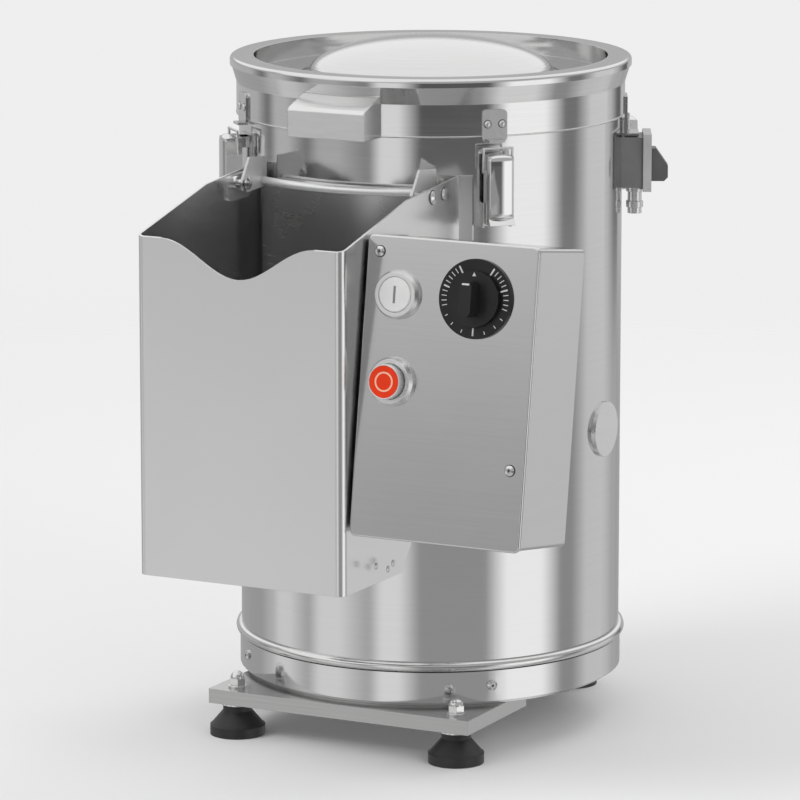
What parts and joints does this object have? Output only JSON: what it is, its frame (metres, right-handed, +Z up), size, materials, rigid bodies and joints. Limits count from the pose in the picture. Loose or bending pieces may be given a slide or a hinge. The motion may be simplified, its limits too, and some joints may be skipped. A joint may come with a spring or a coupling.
{
  "type": "electric potato peeler",
  "caption": "Upright stainless drum peeler with a clamped lid, a front discharge chute with a flap, a leaning control box with timer and push buttons, on rubber feet.",
  "frame": {"origin": "middle of the object's footprint, at floor level under the feet", "axes": "+Z up along the drum, -Y towards the front, where the chute is, +X towards the control box"},
  "size_m": [0.3188, 0.422, 0.4485],
  "materials": {
    "brushed": "brushed stainless steel, semi-bright",
    "polished": "bright rolled stainless steel",
    "fastener": "bright stainless steel",
    "zinc": "dull steel",
    "rubber": "black rubber, matt",
    "black_plastic": "black plastic, satin",
    "grey_plastic": "light grey plastic",
    "grit": "coarse abrasive coating",
    "white_plastic": "white plastic, glossy",
    "red_plastic": "red plastic, glossy",
    "motor_paint": "grey blue paint",
    "castings": "cast, bead blasted"
  },
  "bodies": {
    "machine": {"front_rail": "brushed", "rear_rail": "brushed", "foot_pads": "rubber", "foot_studs": "zinc", "foot_nuts": "fastener", "base_plate": "zinc", "collar_band": "brushed", "collar_screws": "fastener", "drum_shell": "polished", "chamber_floor": "polished", "wall_lining": "grit", "side_plug": "fastener", "discharge_port": "polished", "port_seal": "rubber", "door_magnets": "black_plastic", "chute": "brushed", "hinge_plates": "fastener", "hinge_pins": "fastener", "chute_rivets": "fastener", "control_box": "brushed", "control_panel": "brushed", "panel_screws": "fastener", "button_bezels": "fastener", "contact_blocks": "black_plastic", "dial_plate": "black_plastic", "timer_body": "black_plastic", "box_bolts": "fastener", "cable_conduit": "brushed", "latch_bases": "fastener", "switch_housing": "grey_plastic", "switch_cover": "grey_plastic", "switch_wedge": "black_plastic", "bearing_housing": "castings", "bearings": "fastener", "shaft_seal": "rubber", "gear_motor": "motor_paint", "motor_plate": "zinc", "drain_elbow": "zinc", "water_inlet": "fastener", "cable_gland": "black_plastic"},
    "lid": {"lid_ring": "brushed", "lid_dish": "brushed", "lid_seal": "rubber", "lid_grip": "brushed", "latch_keepers": "fastener", "switch_tongue": "fastener"},
    "door": {"discharge_door": "polished"},
    "start_button": {"start_cap": "white_plastic"},
    "stop_button": {"stop_cap": "red_plastic"},
    "timer": {"timer_knob": "black_plastic"},
    "rotor": {"spindle": "fastener", "abrasive_disc": "grit"},
    "lever_front_right": {"lever_front_right": "fastener"},
    "bail_front_right": {"bail_front_right": "fastener"},
    "lever_front_left": {"lever_front_left": "fastener"},
    "bail_front_left": {"bail_front_left": "fastener"},
    "lever_rear_right": {"lever_rear_right": "fastener"},
    "bail_rear_right": {"bail_rear_right": "fastener"},
    "lever_rear_left": {"lever_rear_left": "fastener"},
    "bail_rear_left": {"bail_rear_left": "fastener"}
  },
  "joints": [
    {"name": "lid_lift", "type": "slide", "parent": "machine", "child": "lid", "axis": [0, 0, 1], "range_m": [0, 0.12]},
    {"name": "door_swing", "type": "hinge", "parent": "machine", "child": "door", "pos_m": [-0.0286, -0.09, 0.367], "axis": [-1, 0, 0], "range_deg": [0, 55]},
    {"name": "start_press", "type": "slide", "parent": "machine", "child": "start_button", "axis": [0, 0.989, -0.1478], "range_m": [0, 0.003], "stiffness_N_per_m": 800, "springref_m": -0.001},
    {"name": "stop_press", "type": "slide", "parent": "machine", "child": "stop_button", "axis": [0, 0.989, -0.1478], "range_m": [0, 0.003], "stiffness_N_per_m": 800, "springref_m": -0.001},
    {"name": "timer_turn", "type": "hinge", "parent": "machine", "child": "timer", "pos_m": [0.1208, -0.18538, 0.32366], "axis": [0, 0.989, -0.1478], "range_deg": [0, 300]},
    {"name": "disc_spin", "type": "hinge", "parent": "machine", "child": "rotor", "pos_m": [-0.0286, 0.051, 0.232], "axis": [0, 0, 1], "continuous": true},
    {"name": "lever_front_right_swing", "type": "hinge", "parent": "machine", "child": "lever_front_right", "pos_m": [0.06651, -0.04411, 0.3855], "axis": [-0.7071, -0.7071, 0], "range_deg": [0, 100]},
    {"name": "bail_front_right_swing", "type": "hinge", "parent": "lever_front_right", "child": "bail_front_right", "pos_m": [0.06587, -0.04347, 0.3785], "axis": [-0.7071, -0.7071, 0], "range_deg": [-78, 0]},
    {"name": "lever_front_left_swing", "type": "hinge", "parent": "machine", "child": "lever_front_left", "pos_m": [-0.12371, -0.04411, 0.3855], "axis": [-0.7071, 0.7071, 0], "range_deg": [0, 100]},
    {"name": "bail_front_left_swing", "type": "hinge", "parent": "lever_front_left", "child": "bail_front_left", "pos_m": [-0.12307, -0.04347, 0.3785], "axis": [-0.7071, 0.7071, 0], "range_deg": [-78, 0]},
    {"name": "lever_rear_right_swing", "type": "hinge", "parent": "machine", "child": "lever_rear_right", "pos_m": [0.06651, 0.14611, 0.3855], "axis": [0.7071, -0.7071, 0], "range_deg": [0, 100]},
    {"name": "bail_rear_right_swing", "type": "hinge", "parent": "lever_rear_right", "child": "bail_rear_right", "pos_m": [0.06587, 0.14547, 0.3785], "axis": [0.7071, -0.7071, 0], "range_deg": [-78, 0]},
    {"name": "lever_rear_left_swing", "type": "hinge", "parent": "machine", "child": "lever_rear_left", "pos_m": [-0.12371, 0.14611, 0.3855], "axis": [0.7071, 0.7071, 0], "range_deg": [0, 100]},
    {"name": "bail_rear_left_swing", "type": "hinge", "parent": "lever_rear_left", "child": "bail_rear_left", "pos_m": [-0.12307, 0.14547, 0.3785], "axis": [0.7071, 0.7071, 0], "range_deg": [-78, 0]}
  ],
  "couplings": [
    {"joint": "bail_front_right_swing", "follows": "lever_front_right_swing", "ratio": -0.78},
    {"joint": "bail_front_left_swing", "follows": "lever_front_left_swing", "ratio": -0.78},
    {"joint": "bail_rear_right_swing", "follows": "lever_rear_right_swing", "ratio": -0.78},
    {"joint": "bail_rear_left_swing", "follows": "lever_rear_left_swing", "ratio": -0.78}
  ]
}
